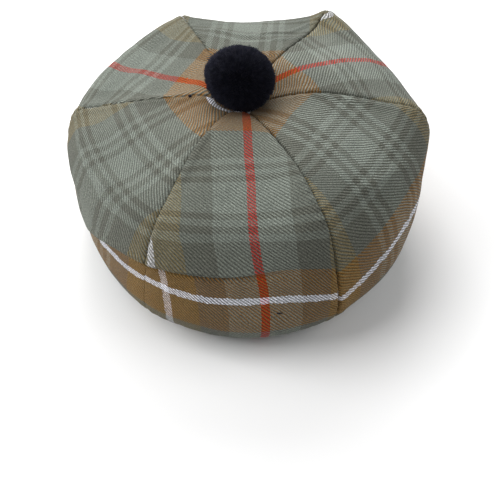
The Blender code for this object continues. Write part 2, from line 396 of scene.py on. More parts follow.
class Value:
    """A number that varies over a surface. Python's operators on it add the Math nodes."""

    def __init__(self, graph: Graph, socket: bpy.types.NodeSocket) -> None:
        """Wrap a socket of the graph."""
        self.graph = graph
        self.socket = socket

    def math(self, operation: str, *others: Value | float) -> Value:
        """Apply a Math node to this value and the others.

        Args:
            operation: the Math node's operation.
            others: the second and third operand, where the operation has them.

        Returns:
            The node's result.
        """
        inputs = dict(enumerate((self, *others)))
        return self.graph.value("ShaderNodeMath", {"operation": operation}, inputs)

    def __add__(self, other: Value | float) -> Value:
        """Return the sum."""
        return self.math("ADD", other)

    __radd__ = __add__

    def __sub__(self, other: Value | float) -> Value:
        """Return the difference."""
        return self.math("SUBTRACT", other)

    def __rsub__(self, other: float) -> Value:
        """Return a number less this value."""
        return (self * -1.0) + other

    def __mul__(self, other: Value | float) -> Value:
        """Return the product."""
        return self.math("MULTIPLY", other)

    __rmul__ = __mul__

    def __truediv__(self, other: Value | float) -> Value:
        """Return the quotient."""
        return self.math("DIVIDE", other)

    def __mod__(self, other: Value | float) -> Value:
        """Return the remainder, which is never below zero."""
        return self.math("FLOORED_MODULO", other)

    def __abs__(self) -> Value:
        """Return the value without its sign."""
        return self.math("ABSOLUTE")

    def __lt__(self, other: Value | float) -> Value:
        """Return 1 where this value is the smaller, and 0 elsewhere."""
        return self.math("LESS_THAN", other)

    def floor(self) -> Value:
        """Return the whole number below."""
        return self.math("FLOOR")

    def sine(self) -> Value:
        """Return the sine."""
        return self.math("SINE")

    def root(self) -> Value:
        """Return the square root, or 0 below zero."""
        return self.math("MAXIMUM", 0.0).math("SQRT")

    def clamp(self) -> Value:
        """Return the value held between 0 and 1."""
        return self.math("MAXIMUM", 0.0).math("MINIMUM", 1.0)

    def ridges(self, pitch: float) -> Value:
        """Return even ridges, from 0 to 1, that are a pitch apart."""
        return (self * (2 * math.pi / pitch)).sine() * 0.5 + 0.5


class Graph:
    """A material and its nodes."""

    def __init__(self, name: str) -> None:
        """Make an empty material with a Principled shader.

        Args:
            name: the material's name.
        """
        self.material = bpy.data.materials.new(name)
        self.material.use_nodes = True
        self.tree = self.material.node_tree
        self.shader = self.tree.nodes["Principled BSDF"]

    def node(self, kind: str, settings: dict[str, Any], inputs: dict[Any, Any]) -> bpy.types.Node:
        """Add a node.

        Args:
            kind: the node's type.
            settings: its settings, which are set first. "stops" is a colour ramp's list of stops.
            inputs: values or links of its sockets, by name or number.

        Returns:
            The node.
        """
        node = self.tree.nodes.new(kind)
        for name, setting in settings.items():
            if name == "stops":
                self._set_stops(node.color_ramp, setting)
            elif name == "interpolation":
                node.color_ramp.interpolation = setting
            else:
                setattr(node, name, setting)
        for key, given in inputs.items():
            self.feed(node.inputs[key], given)
        return node

    def feed(self, socket: bpy.types.NodeSocket, given: Any) -> None:
        """Link a socket, or set its number or colour.

        Args:
            socket: the socket that is fed.
            given: a value, a socket, a number or a colour.
        """
        if isinstance(given, Value):
            given = given.socket
        if isinstance(given, bpy.types.NodeSocket):
            self.tree.links.new(given, socket)
        elif isinstance(given, tuple) and len(given) == 3 and socket.type == "RGBA":
            socket.default_value = (*given, 1.0)
        else:
            socket.default_value = given

    def value(self, kind: str, settings: dict[str, Any], inputs: dict[Any, Any], output: Any = 0) -> Value:
        """Add a node, as node does, and return one of its outputs as a value."""
        return Value(self, self.node(kind, settings, inputs).outputs[output])

    def mix(
        self, factor: Value | float, first: Any, second: Any, blend: str = "MIX"
    ) -> bpy.types.NodeSocket:
        """Mix two colours.

        Args:
            factor: 0 for the first colour, 1 for the second.
            first: a colour or a colour's socket.
            second: a colour or a colour's socket.
            blend: the Mix node's blend type.

        Returns:
            The mixed colour's socket.
        """
        settings = {"data_type": "RGBA", "blend_type": blend}
        return self.node("ShaderNodeMix", settings, {0: factor, 6: first, 7: second}).outputs[2]

    def noise(self, vector: bpy.types.NodeSocket, size: float, detail: float = 2.0) -> Value:
        """Return smooth noise from 0 to 1, whose features are about size metres wide."""
        inputs = {"Vector": vector, "Scale": 1.0 / size, "Detail": detail}
        return self.value("ShaderNodeTexNoise", {}, inputs, "Fac")

    def place(self) -> bpy.types.NodeSocket:
        """Return the point on the object, in metres."""
        return self.node("ShaderNodeTexCoord", {}, {}).outputs["Object"]

    def uv_map(self, name: str) -> bpy.types.NodeSocket:
        """Return the point on one of the piece's UV maps, in metres."""
        return self.node("ShaderNodeUVMap", {"uv_map": name}, {}).outputs["UV"]

    def split(self, vector: bpy.types.NodeSocket) -> tuple[Value, Value]:
        """Return the X and the Y of a point."""
        node = self.node("ShaderNodeSeparateXYZ", {}, {0: vector})
        return Value(self, node.outputs["X"]), Value(self, node.outputs["Y"])

    def bump(self, height: Value, distance: float) -> bpy.types.NodeSocket:
        """Return a normal for a height from 0 to 1 that stands the given distance in metres."""
        inputs = {"Height": height, "Distance": distance, "Strength": 1.0}
        return self.node("ShaderNodeBump", {}, inputs).outputs["Normal"]

    def dress(self, **sockets: Any) -> bpy.types.Material:
        """Feed the shader's sockets.

        Args:
            sockets: what each socket is given, by its name with underscores for spaces.

        Returns:
            The material.
        """
        for name, given in sockets.items():
            self.feed(self.shader.inputs[name.replace("_", " ").title().replace("Ior", "IOR")], given)
        return self.material

    @staticmethod
    def _set_stops(ramp: bpy.types.ColorRamp, stops: Sequence[tuple[float, Colour]]) -> None:
        """Give a colour ramp its stops.

        Args:
            ramp: the colour ramp.
            stops: the position and colour of each stop, in rising order.
        """
        while len(ramp.elements) > 1:
            ramp.elements.remove(ramp.elements[-1])
        for number, (position, colour) in enumerate(stops):
            stop = ramp.elements[0] if number == 0 else ramp.elements.new(position)
            stop.position = position
            stop.color = (*colour, 1.0)


@dataclass(frozen=True)
class TartanWool:
    """A wool twill in the sett's yarns, over two and under two, whose ribs run slantwise."""

    warp_pitch: float = 0.74 * MM
    weft_pitch: float = 0.63 * MM
    thread_relief: float = 0.14 * MM
    rib_relief: float = 0.20 * MM
    rib_phase: float = -0.68 * math.pi   # where the ribs and their painted shade fall: darkest where warps and wefts meet
    nap_relief: float = 0.10 * MM
    nap_size: float = 0.35 * MM
    slub_size: float = 1.05 * MM
    sway_size: float = 7.0 * MM
    sway: float = 0.9                  # how many threads' widths the threads sway by
    felting: float = 0.40              # how much of the fibres of both yarns lies over each thread
    tangle: float = 1.5                # how unevenly they do
    tangle_size: float = 1.4 * MM
    heather: float = 2.05              # how unevenly the fibres and threads took the dye
    mottle: float = 0.25               # how unevenly whole patches did
    mottle_size: float = 14 * MM
    rib: float = 0.36                  # painted shade: how much darker the wefts are between the slanting ribs of warps
    side_light: float = 0.56           # painted shade: how light a thread's sides are in the base colour
    back_light: float = 0.68           # painted light: how much lighter its back is in the base colour
    cloth_map: str = "cloth"
    sett_map: str = "sett"

    def material(self) -> bpy.types.Material:
        """Return the material.

        It counts the threads along the cloth map and takes their colours from the sett map. Both give
        metres from the red stripes.

        Returns:
            The material.
        """
        graph = Graph("tartan wool")
        cloth = graph.uv_map(self.cloth_map)
        across, along = graph.split(cloth)
        sway = (graph.noise(cloth, self.sway_size, 1.0) - 0.5) * self.sway
        warps = across / self.warp_pitch + sway
        wefts = along / self.weft_pitch + sway
        warp_number, weft_number = warps.floor(), wefts.floor()

        sett_across, sett_along = graph.split(graph.uv_map(self.sett_map))
        warp_middle = (warp_number + 0.5 - warps) * self.warp_pitch + sett_across
        weft_middle = (weft_number + 0.5 - wefts) * self.weft_pitch + sett_along
        warp_place, weft_place = self._place_in_sett(warp_middle), self._place_in_sett(weft_middle)
        warp_colour = self._yarn_colour(graph, warp_place, WARP_YARNS)
        weft_colour = self._yarn_colour(graph, weft_place, {})
        turn = (warp_number + weft_number) % TWILL_REPEAT
        warp_shows = turn < TWILL_FLOAT - 0.5
        bare = graph.mix(warp_shows, weft_colour, warp_colour)
        mingled = graph.mix(0.5, weft_colour, warp_colour)
        place = graph.place()
        tangles = (graph.noise(place, self.tangle_size, 2.0) - 0.5) * self.tangle
        colour = graph.mix((tangles + self.felting).clamp(), bare, mingled)

        warp_run = (wefts + warp_number) % TWILL_REPEAT
        weft_run = (warps + weft_number + TWILL_FLOAT) % TWILL_REPEAT
        warp_height = self._float_height(warps - warp_number - 0.5, warp_run)
        weft_height = self._float_height(wefts - weft_number - 0.5, weft_run)
        height = warp_shows * warp_height + (1 - warp_shows) * weft_height
        # the slanting ribs, which feed both the bump and the painted shade in the base colour
        ribs = ((warps + wefts) * (2 * math.pi / TWILL_REPEAT) + self.rib_phase).sine()
        fibres = graph.noise(cloth, self.nap_size, 3.0)
        slubs = graph.noise(cloth, self.slub_size, 2.0)
        mottling = graph.noise(place, self.mottle_size, 2.0)
        uneven = (fibres + slubs - 1.0) * self.heather + (mottling - 0.5) * self.mottle
        # painted shade in the base colour: each thread's sides and ends darker than its back, times the
        # ribs' painted shade and the uneven dye
        light = (self.side_light + height * self.back_light) * (ribs * self.rib + 1.0) * (uneven + 1.0)
        shade = graph.node("ShaderNodeCombineXYZ", {}, {0: light, 1: light, 2: light}).outputs[0]
        # the yarn colours times their painted shade
        colour_with_painted_shade = graph.mix(1.0, colour, shade, "MULTIPLY")
        relief = (height * self.thread_relief + ribs * self.rib_relief + fibres * self.nap_relief) / MM
        return graph.dress(
            base_color=colour_with_painted_shade,
            roughness=0.92,
            normal=graph.bump(relief, MM),
            sheen_weight=0.06,
            sheen_roughness=0.5,
            specular_ior_level=0.15,
        )

    @staticmethod
    def _place_in_sett(middle: Value) -> Value:
        """Return how far a thread's middle lies from the sett's red stripe, from 0 to 1."""
        half = HALF_SETT_WIDTH * MM
        return abs((middle + half) % (2 * half) - half) / half

    @staticmethod
    def _yarn_colour(graph: Graph, place: Value, others: dict[Yarn, Yarn]) -> bpy.types.NodeSocket:
        """Return a thread's colour.

        Args:
            graph: the material's nodes.
            place: the thread's place in the sett, from 0 to 1.
            others: the yarns used instead of some of the sett's.

        Returns:
            The colour's socket.
        """
        edges = np.cumsum([0.0] + [stripe.width for stripe in HALF_SETT])[:-1] / HALF_SETT_WIDTH
        yarns = [others.get(stripe.yarn, stripe.yarn) for stripe in HALF_SETT]
        stops = [(float(edge), yarn.value) for edge, yarn in zip(edges, yarns)]
        settings = {"stops": stops, "interpolation": "CONSTANT"}
        return graph.node("ShaderNodeValToRGB", settings, {0: place}).outputs["Color"]

    @staticmethod
    def _float_height(across: Value, along: Value) -> Value:
        """Return a thread's height where it shows.

        Args:
            across: from -0.5 to 0.5 over its width.
            along: from 0 to 2 over the stretch that lies on top.

        Returns:
            From 0 at its sides and ends to 1 on its back.
        """
        return (1 - across * across * 4.0).root() * (along * (math.pi / TWILL_FLOAT)).sine().root()


@dataclass(frozen=True)
class BandCotton:
    """The head band's black ribbed cotton."""

    rib: float = 0.9 * MM
    thread: float = 0.54 * MM
    fibre_size: float = 0.6 * MM
    wear_size: float = 18 * MM
    relief: float = 0.10 * MM
    colour: Colour = (0.0045, 0.0045, 0.0070)
    worn_colour: Colour = (0.0100, 0.0105, 0.0155)
    join_at: float = 417 * MM          # how far round the band its ends are sewn together
    stitch_at: float = 26.5 * MM       # how far up it the lining is stitched on
    stitch: float = 3.2 * MM
    stitched: float = 0.7              # how much of each stitch shows
    seam_width: float = 0.5 * MM
    seam_depth: float = 5.0            # as a share of the relief
    cloth_map: str = "cloth"

    def material(self) -> bpy.types.Material:
        """Return the material.

        Returns:
            The material. It reads the band's map, in metres round the band and up it.
        """
        graph = Graph("band cotton")
        round_band, up_band = graph.split(graph.uv_map(self.cloth_map))
        ribs = up_band.ridges(self.rib)
        threads = round_band.ridges(self.thread)
        fibres = graph.noise(graph.place(), self.fibre_size, 3.0)
        wear = graph.noise(graph.place(), self.wear_size, 3.0)
        colour = graph.mix((wear * 0.8 + fibres * 0.5 - 0.25).clamp(), self.colour, self.worn_colour)
        join = (1 - abs(round_band - self.join_at) / self.seam_width).clamp()
        dashes = (round_band % self.stitch) < self.stitch * self.stitched
        stitches = (1 - abs(up_band - self.stitch_at) / self.seam_width).clamp() * dashes
        sewn = join + stitches
        height = ribs * 0.6 + threads * 0.25 + fibres * 0.15 - sewn * self.seam_depth
        return graph.dress(
            base_color=graph.mix(sewn.clamp() * 0.8, colour, (0.0, 0.0, 0.0)),
            roughness=0.92,
            normal=graph.bump(height, self.relief),
            sheen_weight=0.02,
            sheen_roughness=0.4,
            specular_ior_level=0.12,
        )


@dataclass(frozen=True)
class LiningSatin:
    """The lining's thin slate-blue satin."""

    thread: float = 0.30 * MM
    fibre_size: float = 0.5 * MM
    cloud_size: float = 22 * MM
    relief: float = 0.03 * MM
    colour: Colour = (0.020, 0.022, 0.038)
    bright_colour: Colour = (0.034, 0.036, 0.060)

    def material(self) -> bpy.types.Material:
        """Return the material.

        Returns:
            The material, with fine lines across the hat and cloudy patches.
        """
        graph = Graph("lining satin")
        place = graph.place()
        lines = graph.split(place)[0].ridges(self.thread)
        fibres = graph.noise(place, self.fibre_size, 3.0)
        cloud = graph.noise(place, self.cloud_size, 2.0)
        colour = graph.mix((cloud * 0.7 + fibres * 0.4 - 0.1).clamp(), self.colour, self.bright_colour)
        return graph.dress(
            base_color=colour,
            roughness=cloud * 0.12 + 0.46,
            normal=graph.bump(lines * 0.5 + fibres * 0.5, self.relief),
            sheen_weight=0.05,
            sheen_roughness=0.3,
            specular_ior_level=0.35,
        )


@dataclass(frozen=True)
class PompomWool:
    """The pompom's black wool, which is lighter in places."""

    strand_size: float = 1.1 * MM
    cloud_size: float = 3.5 * MM
    relief: float = 0.12 * MM
    colour: Colour = (0.0085, 0.0090, 0.0142)
    pale_colour: Colour = (0.0215, 0.0225, 0.0400)

    def material(self) -> bpy.types.Material:
        """Return the material.

        Returns:
            The material, mottled by strands and by tufts.
        """
        graph = Graph("pompom wool")
        place = graph.place()
        strands = graph.noise(place, self.strand_size, 3.0)
        cloud = graph.noise(place, self.cloud_size, 2.0)
        colour = graph.mix((strands * 0.9 + cloud * 1.0 - 0.55).clamp(), self.colour, self.pale_colour)
        return graph.dress(
            base_color=colour,
            roughness=0.9,
            normal=graph.bump(strands, self.relief),
            sheen_weight=0.02,
            sheen_roughness=0.5,
            specular_ior_level=0.12,
        )


@dataclass(frozen=True)
class PaleFloor:
    """The studio's plain pale floor."""

    colour: Colour = (0.92, 0.92, 0.92)
    dull_colour: Colour = (0.9062, 0.9062, 0.9062)
    cloud_size: float = 0.4            # in metres

    def material(self) -> bpy.types.Material:
        """Return the material.

        Returns:
            The material, which is hardly uneven.
        """
        graph = Graph("pale floor")
        colour = graph.mix(graph.noise(graph.place(), self.cloud_size), self.dull_colour, self.colour)
        return graph.dress(base_color=colour, roughness=0.9)


# --------------------------------------------------------------------------------- shape and pieces


def smooth_step(low: float, high: float, values: np.ndarray) -> np.ndarray:
    """Return 0 below low, 1 above high and a smooth rise between them."""
    share = np.clip((values - low) / (high - low), 0.0, 1.0)
    return share * share * (3 - 2 * share)


def plateau(marks: Marks, values: np.ndarray) -> np.ndarray:
    """Return 0 outside the outer marks, 1 between the inner ones and smooth slopes between them."""
    return smooth_step(*marks[:2], values) * (1 - smooth_step(*marks[2:], values))


def smooth_curve(marks: Sequence[float], values: np.ndarray, places: np.ndarray) -> np.ndarray:
    """Return values on a smooth curve.

    Args:
        marks: where the curve's values are given, in rising order.
        values: the value at each mark, which may be a row of numbers.
        places: where the curve is read.

    Returns:
        The value at each place.
    """
    marks, values = np.array(marks, float), np.asarray(values, float)
    flat = values.reshape(len(marks), -1)
    steps = np.diff(marks)[:, None]
    slopes = np.diff(flat, axis=0) / steps
    inner = (slopes[:-1] * steps[1:] + slopes[1:] * steps[:-1]) / (steps[:-1] + steps[1:])
    tangents = np.vstack([slopes[:1], inner, slopes[-1:]])
    span = np.clip(np.searchsorted(marks, places, side="right") - 1, 0, len(steps) - 1)
    length = steps[span]
    t = (places - marks[span])[:, None] / length
    curve = (
        (2 * t**3 - 3 * t**2 + 1) * flat[span]
        + (t**3 - 2 * t**2 + t) * length * tangents[span]
        + (3 * t**2 - 2 * t**3) * flat[span + 1]
        + (t**3 - t**2) * length * tangents[span + 1]
    )
    return curve.reshape((len(places),) + values.shape[1:])


def wander(points: np.ndarray, size: float, seed: int, waves: int = 28) -> np.ndarray:
    """Return smooth noise at points.

    Args:
        points: places in millimetres, with three numbers along the last axis.
        size: the width of a typical hump, in millimetres.
        seed: picks the pattern.
        waves: how many waves are summed.

    Returns:
        Heights that are mostly between -1 and 1.
    """
    random = np.random.default_rng(seed)
    directions = random.normal(size=(waves, 3))
    directions /= np.linalg.norm(directions, axis=1)[:, None]
    rates = math.pi / size * random.uniform(0.6, 1.4, waves)
    phases = random.uniform(0, 2 * math.pi, waves)
    total = np.zeros(points.shape[:-1])
    for direction, rate, phase in zip(directions, rates, phases):
        total += np.cos(points @ (direction * rate) + phase)
    return total / math.sqrt(waves)


def finish_piece(piece: bpy.types.Object, material: bpy.types.Material) -> bpy.types.Object:
    """Shade a piece, give it its material, and let it ride on the hat.

    Args:
        piece: the piece.
        material: what it is dressed in.

    Returns:
        The piece.
    """
    piece.data.materials.append(material)
    piece.data.shade_smooth()
    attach(piece, BODY)
    return piece


def new_piece(name: str, bm: bmesh.types.BMesh) -> bpy.types.Object:
    """Turn a bmesh into an object of the scene.

    Args:
        name: the object's name.
        bm: its shape, which is freed.

    Returns:
        The object.
    """
    mesh = bpy.data.meshes.new(name)
    bm.to_mesh(mesh)
    bm.free()
    piece = bpy.data.objects.new(name, mesh)
    bpy.context.scene.collection.objects.link(piece)
    return piece


def sheet_piece(name: str, points: np.ndarray, maps: dict[str, np.ndarray]) -> bpy.types.Object:
    """Make a piece from a grid that is bent to shape.

    Args:
        name: the piece's name.
        points: rows by columns of places, in millimetres.
        maps: rows by columns of two coordinates, in millimetres, for each of its UV maps by name.

    Returns:
        The object.
    """
    rows, columns = points.shape[:2]
    bm = bmesh.new()
    bmesh.ops.create_grid(bm, x_segments=columns - 1, y_segments=rows - 1, size=0.5)
    piece = new_piece(name, bm)
    mesh = piece.data
    flat = np.empty(len(mesh.vertices) * 3, np.float32)
    mesh.vertices.foreach_get("co", flat)
    column = np.rint((flat[0::3] + 0.5) * (columns - 1)).astype(int)
    row = np.rint((flat[1::3] + 0.5) * (rows - 1)).astype(int)
    mesh.vertices.foreach_set("co", (points[row, column] * MM).astype(np.float32).ravel())
    corners = np.empty(len(mesh.loops), np.int32)
    mesh.loops.foreach_get("vertex_index", corners)
    for name, places in maps.items():
        layer = mesh.uv_layers.new(name=name)
        layer.data.foreach_set("uv", (places[row, column] * MM).astype(np.float32)[corners].ravel())
    mesh.update()
    return piece


def weld(piece: bpy.types.Object) -> None:
    """Close a piece's seams and poles, and turn its faces outwards.

    Args:
        piece: a piece whose corners meet there.
    """
    bm = bmesh.new()
    bm.from_mesh(piece.data)
    bmesh.ops.remove_doubles(bm, verts=bm.verts, dist=WELD_GAP)
    bmesh.ops.recalc_face_normals(bm, faces=bm.faces)
    bm.to_mesh(piece.data)
    bm.free()


def line_shares(
    x: np.ndarray, y: np.ndarray, start: tuple[float, float], end: tuple[float, float]
) -> tuple[np.ndarray, np.ndarray]:
    """Return where places lie beside a straight line.

    Args:
        x: the places' first coordinates.
        y: their second ones.
        start: the line's start.
        end: its end.

    Returns:
        How far along the line each place lies, from 0 to 1, and how far aside of it.
    """
    run = np.subtract(end, start)
    length = float(np.hypot(*run))
    x, y = x - start[0], y - start[1]
    return (x * run[0] + y * run[1]) / length**2, (x * run[1] - y * run[0]) / length


def hump(values: np.ndarray, at: float, width: float) -> np.ndarray:
    """Return a smooth hump that is 1 at one value and fades away within about a width of it."""
    return np.exp(-(((values - at) / width) ** 2))


def oval_reach(half_width: float, half_length: float, turn: np.ndarray | float) -> np.ndarray | float:
    """Return an oval's radius in the direction turn, in radians."""
    return 1.0 / np.hypot(np.cos(turn) / half_width, np.sin(turn) / half_length)


@dataclass
class Gores:
    """The six gores, sewn side by side from the crown's centre to the band."""

    finish: TartanWool
    columns: int = 121
    rows: int = 240
    row_crowding: float = 0.55         # how much closer the rows stand at the crown's edge
    crowded_at: float = 170.0
    crowded_width: float = 20.0
    thickness: float = 1.2
    bulge_power: float = 2.3
    seam_crowding: float = 0.78        # how much closer the columns stand at the seams
    seam_gap: float = 0.25
    groove_depth: float = 0.95
    groove_width: float = 0.75
    roll_lift: float = 0.45            # the cloth's soft roll beside a seam
    roll_at: float = 4.0
    roll_width: float = 2.6
    pucker_length: float = 8.0
    pucker_width: float = 5.0
    pucker_lift: float = 0.30
    side_rows: Marks = (158.0, 168.0, 200.0, 215.0)
    side_ease: float = 0.75            # how much flatter most seams lie on the hat's side
    deep_seam: float = 1.5             # seams drawn in deeper than this stay as they are there
    wave_lift: float = 0.9             # the cloth's broad waves and small dents
    wave_size: float = 34.0
    dent_lift: float = 0.16
    dent_size: float = 9.0
    lip_out: float = 0.8               # how the sagging edge and the cloth under it move, as shares
    lip_down: float = 0.9              # of the edge's reach
    tuck_in: float = 1.3
    tuck_up: float = 0.75
    gather_start: float = 208.0
    gather_depth: float = 5.2
    gathers: int = 9
    gather_seed: int = 40
    gather_sharpness: float = 0.9
    gathered_fullness: float = 1.13    # how much wider the cloth is than the gathers look at the band
    underside_shrink: float = 0.63     # under the hat the stripes lie further apart than the levels
    tucked_rows: Marks = (-42.0, -3.0, 0.5, 3.0)     # where the hidden cloth goes, from the sagging edge

    def build(self) -> list[bpy.types.Object]:
        """Build all gores and return them."""
        material = self.finish.material()
        return [self._gore(cut, material) for cut in CUTS]

    def _gore(self, cut: Cut, material: bpy.types.Material) -> bpy.types.Object:
        """Build one gore over its solid.

        Args:
            cut: the gore.
            material: what it is dressed in.

        Returns:
            Its object.
        """
        shares = np.linspace(0.0, 1.0, self.columns)
        across = shares - self.seam_crowding * np.sin(2 * math.pi * shares) / (2 * math.pi)
        along = self._rows_along()
        points = self._form(cut, across, along)
        reach = np.cumsum(np.linalg.norm(np.diff(points, axis=1, prepend=points[:, :1]), axis=2), axis=1)
        place = reach - reach[:, self.columns // 2][:, None]
        points = points + self._relief(cut, points, across, along, place)
        threads, sett = self._weave(cut, across, along, place)
        maps = {self.finish.cloth_map: threads, self.finish.sett_map: sett}
        piece = sheet_piece(cut.node.replace("panel", "gore"), points, maps)
        wall = piece.modifiers.new("wall", "SOLIDIFY")
        wall.thickness = self.thickness * MM
        wall.offset = -1.0
        wall.use_even_offset = False
        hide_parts(cut.node)
        return finish_piece(piece, material)

    def _rows_along(self) -> np.ndarray:
        """Return how far along the cloth each row lies.

        Returns:
            The rows' distances, which are closest together at the crown's edge.
        """
        fine = np.linspace(Level.TIP.value, Level.BAND.value, 2000)
        gap = 1 - self.row_crowding * hump(fine, self.crowded_at, self.crowded_width)
        count = np.concatenate([[0.0], np.cumsum(2 / (gap[1:] + gap[:-1]))])
        return np.interp(np.linspace(0.0, count[-1], self.rows), count, fine)

    def _form(self, cut: Cut, across: np.ndarray, along: np.ndarray) -> np.ndarray:
        """Return the gore's main shape.

        Args:
            cut: the gore.
            across: the columns' shares of the gore's width.
            along: the rows' distances along the cloth.

        Returns:
            Rows by columns of places, in millimetres.
        """
        start, centre, end = (self._curve(section, along) for section in (cut.before, cut.middle, cut.after))
        edge = 0.5 * self.seam_gap / np.linalg.norm(end - start, axis=1)
        share = edge[:, None] + (1 - 2 * edge[:, None]) * across[None, :]
        share = share[..., None]
        bulge = (centre - (start + end) / 2)[:, None, :]
        return start[:, None, :] * (1 - share) + end[:, None, :] * share + bulge * (
            1 - np.abs(2 * share - 1) ** self.bulge_power
        )

    @staticmethod
    def _knots(section: Section) -> np.ndarray:
        """Return the places where a section crosses the levels.

        Args:
            section: the section.

        Returns:
            One place for each level, in millimetres.
        """
        turn = math.radians(section.turn)
        profile = (TIP_POINT, COLLAR_POINT, *section[1:-1])
        knots = [
            (CROWN_AXIS[0] + r * math.cos(turn), CROWN_AXIS[1] + r * math.sin(turn), z) for r, z in profile
        ]
        reach = oval_reach(*BAND_RIM, turn) + CLOTH_TO_BAND_GAP
        end = (BAND_CENTRE[0] + reach * math.cos(turn), BAND_CENTRE[1] + reach * math.sin(turn))
        return np.array([*knots, (*end, CLOTH_END_HEIGHT)])

    def _curve(self, section: Section, along: np.ndarray) -> np.ndarray:
        """Return the places of a smooth curve through a section at distances along the cloth."""
        return smooth_curve([level.value for level in Level], self._knots(section), along)

    def _relief(
        self, cut: Cut, points: np.ndarray, across: np.ndarray, along: np.ndarray, place: np.ndarray
    ) -> np.ndarray:
        """Return how far each place moves for the seams, folds, gathers, waves and sagging edge.

        Args:
            cut: the gore.
            points: its main shape.
            across: the columns' shares of the gore's width.
            along: the rows' distances along the cloth.
            place: how far each place lies across from the gore's middle.

        Returns:
            Rows by columns of moves, in millimetres.
        """
        over = np.gradient(points, across, axis=1)
        down = np.gradient(points, along, axis=0)
        normals = np.cross(over, down)
        normals /= np.linalg.norm(normals, axis=-1)[..., None]
        width = np.linalg.norm(points[:, -1] - points[:, 0], axis=1)[:, None]
        inset = np.minimum(across, 1 - across)[None, :] * width
        drawn = np.where(across < 0.5, cut.before.drawn, cut.after.drawn)[None, :]
        height = self._seams(inset, along, drawn)
        height += self._gathers(across, along, cut)
        height += self._folds(cut, place, along)
        # the waves and dents fade out at the seams and under the pompom
        ease = smooth_step(0.0, 14.0, inset) * smooth_step(26.0, 60.0, along)[:, None]
        height += self.wave_lift * wander(points, self.wave_size, seed=3) * ease
        height += self.dent_lift * wander(points, self.dent_size, seed=4) * ease
        return normals * height[..., None] + self._overhang(cut, points, place, along)

    @staticmethod
    def _sags(cut: Cut, place: np.ndarray, along: np.ndarray) -> tuple[np.ndarray, np.ndarray, np.ndarray]:
        """Return where the crown's edge sags over the side.

        Args:
            cut: the gore.
            place: how far each place lies across from the gore's middle.
            along: the rows' distances along the cloth.

        Returns:
            Rows by columns of how far each place lies below the edge, the edge's reach and the hidden cloth.
        """
        for overhang in OVERHANGS:
            if overhang.node == cut.node:
                across, *rest = np.array(overhang.sags, float).T
                held = np.clip(place, across[0], across[-1])
                rows = smooth_curve(across, np.stack(rest, axis=1), held.ravel())
                line, reach, hidden = rows.T.reshape(3, *place.shape)
                return along[:, None] - line, np.maximum(reach, 0.0), np.maximum(hidden, 0.0)
        return np.full_like(place, 99.0), np.zeros_like(place), np.zeros_like(place)

    def _overhang(self, cut: Cut, points: np.ndarray, place: np.ndarray, along: np.ndarray) -> np.ndarray:
        """Return how far each place moves where the crown's edge sags over the side.

        Args:
            cut: the gore.
            points: its main shape.
            place: how far each place lies across from the gore's middle.
            along: the rows' distances along the cloth.

        Returns:
            Rows by columns of moves, in millimetres. The edge goes out and down, and the cloth under it
            goes in and up.
        """
        below, reach, _ = self._sags(cut, place, along)
        lip, tuck = (
            reach * sum(swell.share * hump(below, swell.below, swell.width) for swell in swells)
            for swells in (LIP, TUCK)
        )
        out = points[..., :2] - CROWN_AXIS
        out = out / np.linalg.norm(out, axis=-1)[..., None]
        outwards = self.lip_out * lip - self.tuck_in * tuck
        rise = self.tuck_up * tuck * (1 - smooth_step(3.0, 8.0, below)) - self.lip_down * lip
        return np.concatenate([out * outwards[..., None], rise[..., None]], axis=-1)

    def _seams(self, inset: np.ndarray, along: np.ndarray, drawn: np.ndarray) -> np.ndarray:
        """Return the groove at both seams, the cloth's roll beside it and the stitches' puckers.

        Args:
            inset: how far each place lies from the nearer seam.
            along: the rows' distances along the cloth.
            drawn: how deep the nearer seam is drawn in, as a share of the usual depth.

        Returns:
            The height at each place.
        """
        groove = -self.groove_depth * drawn * hump(inset, 0.0, self.groove_width)
        roll = self.roll_lift * hump(inset, self.roll_at, self.roll_width)
        unevenness = 2.5 * np.sin(along / 19.0)
        beat = np.cos(2 * math.pi * along / self.pucker_length + unevenness)
        pucker = self.pucker_lift * beat[:, None] * hump(inset, 0.0, self.pucker_width)
        fade = smooth_step(20.0, 45.0, along)[:, None]       # nothing of these under the pompom
        side = plateau(self.side_rows, along)[:, None]
        eased = 1 - self.side_ease * side * (drawn < self.deep_seam)
        return (groove + (roll + pucker) * fade) * eased

    def _gathers(self, across: np.ndarray, along: np.ndarray, cut: Cut) -> np.ndarray:
        """Return the folds that the cloth is drawn into where it is sewn to the band.

        Args:
            across: the columns' shares of the gore's width.
            along: the rows' distances along the cloth.
            cut: the gore.

        Returns:
            The height at each place, which is uneven from fold to fold and 0 at the seams.
        """
        grown = smooth_step(self.gather_start, Level.BAND.value, along)[:, None]
        random = np.random.default_rng(self.gather_seed + CUTS.index(cut))
        phase = random.uniform(0, 2 * math.pi, 3)
        # the folds drift apart and together, sway on their way down and differ in depth
        drift = 1.3 * np.sin(across * 9.0 + phase[0]) + 0.9 * np.sin(across * 23.0 + phase[1])
        sway = 0.8 * np.sin(along / 14.0 + phase[2])[:, None] * np.sin(math.pi * across)[None, :]
        beat = np.sin(math.pi * self.gathers * across[None, :] + drift[None, :] * 0.8 + sway)
        depth = 0.62 + 0.38 * np.sin(across * 17.0 + phase[1] + along[:, None] / 26.0)
        taper = smooth_step(0.0, 0.06, np.minimum(across, 1 - across))[None, :]
        return -self.gather_depth * grown * depth * (1 - np.abs(beat) ** self.gather_sharpness) * taper

    @staticmethod
    def _folds(cut: Cut, place: np.ndarray, along: np.ndarray) -> np.ndarray:
        """Return the named folds' height over a gore.

        Args:
            cut: the gore.
            place: how far each place lies across from the gore's middle.
            along: the rows' distances along the cloth.

        Returns:
            The height at each place.
        """
        height = np.zeros_like(place)
        for fold in FOLDS:
            if fold.node == cut.node:
                share, aside = line_shares(place, along[:, None], fold.start, fold.end)
                height += fold.lift * hump(aside, 0.0, fold.width) * plateau(FOLD_ENDS, share)
        return height

